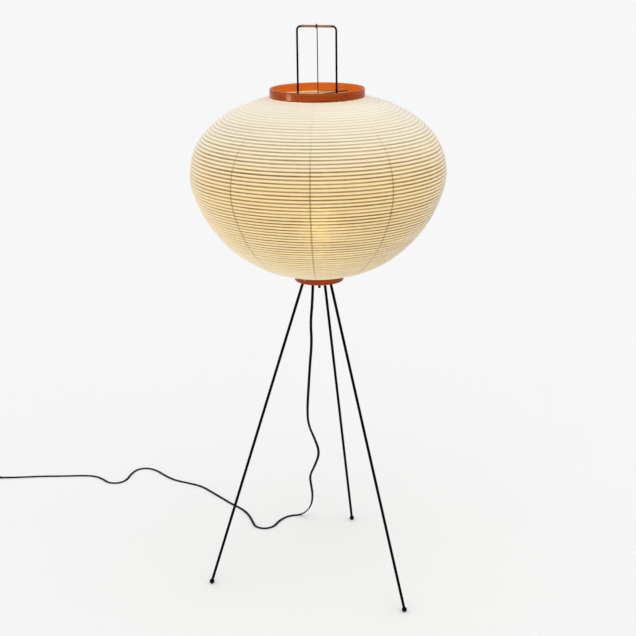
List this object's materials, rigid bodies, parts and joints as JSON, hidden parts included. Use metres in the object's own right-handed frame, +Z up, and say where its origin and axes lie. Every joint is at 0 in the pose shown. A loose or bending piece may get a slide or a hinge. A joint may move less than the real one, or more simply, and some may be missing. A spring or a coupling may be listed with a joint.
{
  "type": "paper lantern floor lamp",
  "caption": "Floor lamp on three thin rod legs: a wide ribbed paper lantern between two bent-wood rings, with a wire carrying handle above.",
  "frame": {"origin": "on the floor, on the lamp's axis, under the middle of the shade", "axes": "+Z up along the lamp's axis; the side that the picture shows faces -Y, with the cord leaving towards -X"},
  "size_m": [1.294, 0.8207, 1.2218],
  "materials": {
    "frame_black": "satin",
    "foot_rubber": "matte",
    "steel": "satin",
    "hanger_steel": "satin",
    "cane": "satin",
    "ring_lacquer": "satin",
    "shade_paper": "matte",
    "holder_black": "matte",
    "porcelain": "gloss",
    "brass": "polished",
    "bulb_metal": "satin",
    "bulb_glass": "satin",
    "cord_black": "satin",
    "switch_black": "satin",
    "rocker_black": "gloss",
    "plug_black": "satin"
  },
  "bodies": {
    "lamp": {"leg_back": "frame_black", "leg_left": "frame_black", "leg_right": "frame_black", "ball_feet": "foot_rubber", "hub_plate": "frame_black", "leg_sockets": "steel", "centre_stud": "hanger_steel", "stud_nut": "hanger_steel", "cord_grommet": "cord_black", "cord_inside": "cord_black", "handle_frame": "frame_black", "frame_nuts": "hanger_steel", "cane_wrap": "cane", "cane_ties": "cane", "bottom_ring": "ring_lacquer", "ring_bridge": "steel", "bridge_screws": "brass", "paper_shade": "shade_paper", "hanger_wire": "hanger_steel", "holder_cap": "holder_black", "holder_body": "holder_black", "holder_core": "porcelain", "screw_shell": "brass", "contact_tongue": "brass", "bulb_cap": "bulb_metal", "bulb_glass": "bulb_glass", "cord_run": "cord_black", "cord_coil": "cord_black", "switch_base": "switch_black", "switch_cover": "switch_black", "switch_contacts": "brass", "switch_screws": "steel", "plug_body": "plug_black", "plug_blades": "brass"},
    "shade_top": {"top_ring": "ring_lacquer", "top_bridge": "hanger_steel"},
    "rocker": {"switch_rocker": "rocker_black"}
  },
  "joints": [
    {"name": "shade_lowers", "type": "slide", "parent": "lamp", "child": "shade_top", "axis": [0, 0, 1], "range_m": [-0.24, 0], "deforming": ["paper_shade"]},
    {"name": "rocker_tips", "type": "hinge", "parent": "lamp", "child": "rocker", "pos_m": [-0.921, 0.5, 0.0115], "axis": [0, 1, 0], "range_deg": [-14, 0]}
  ]
}
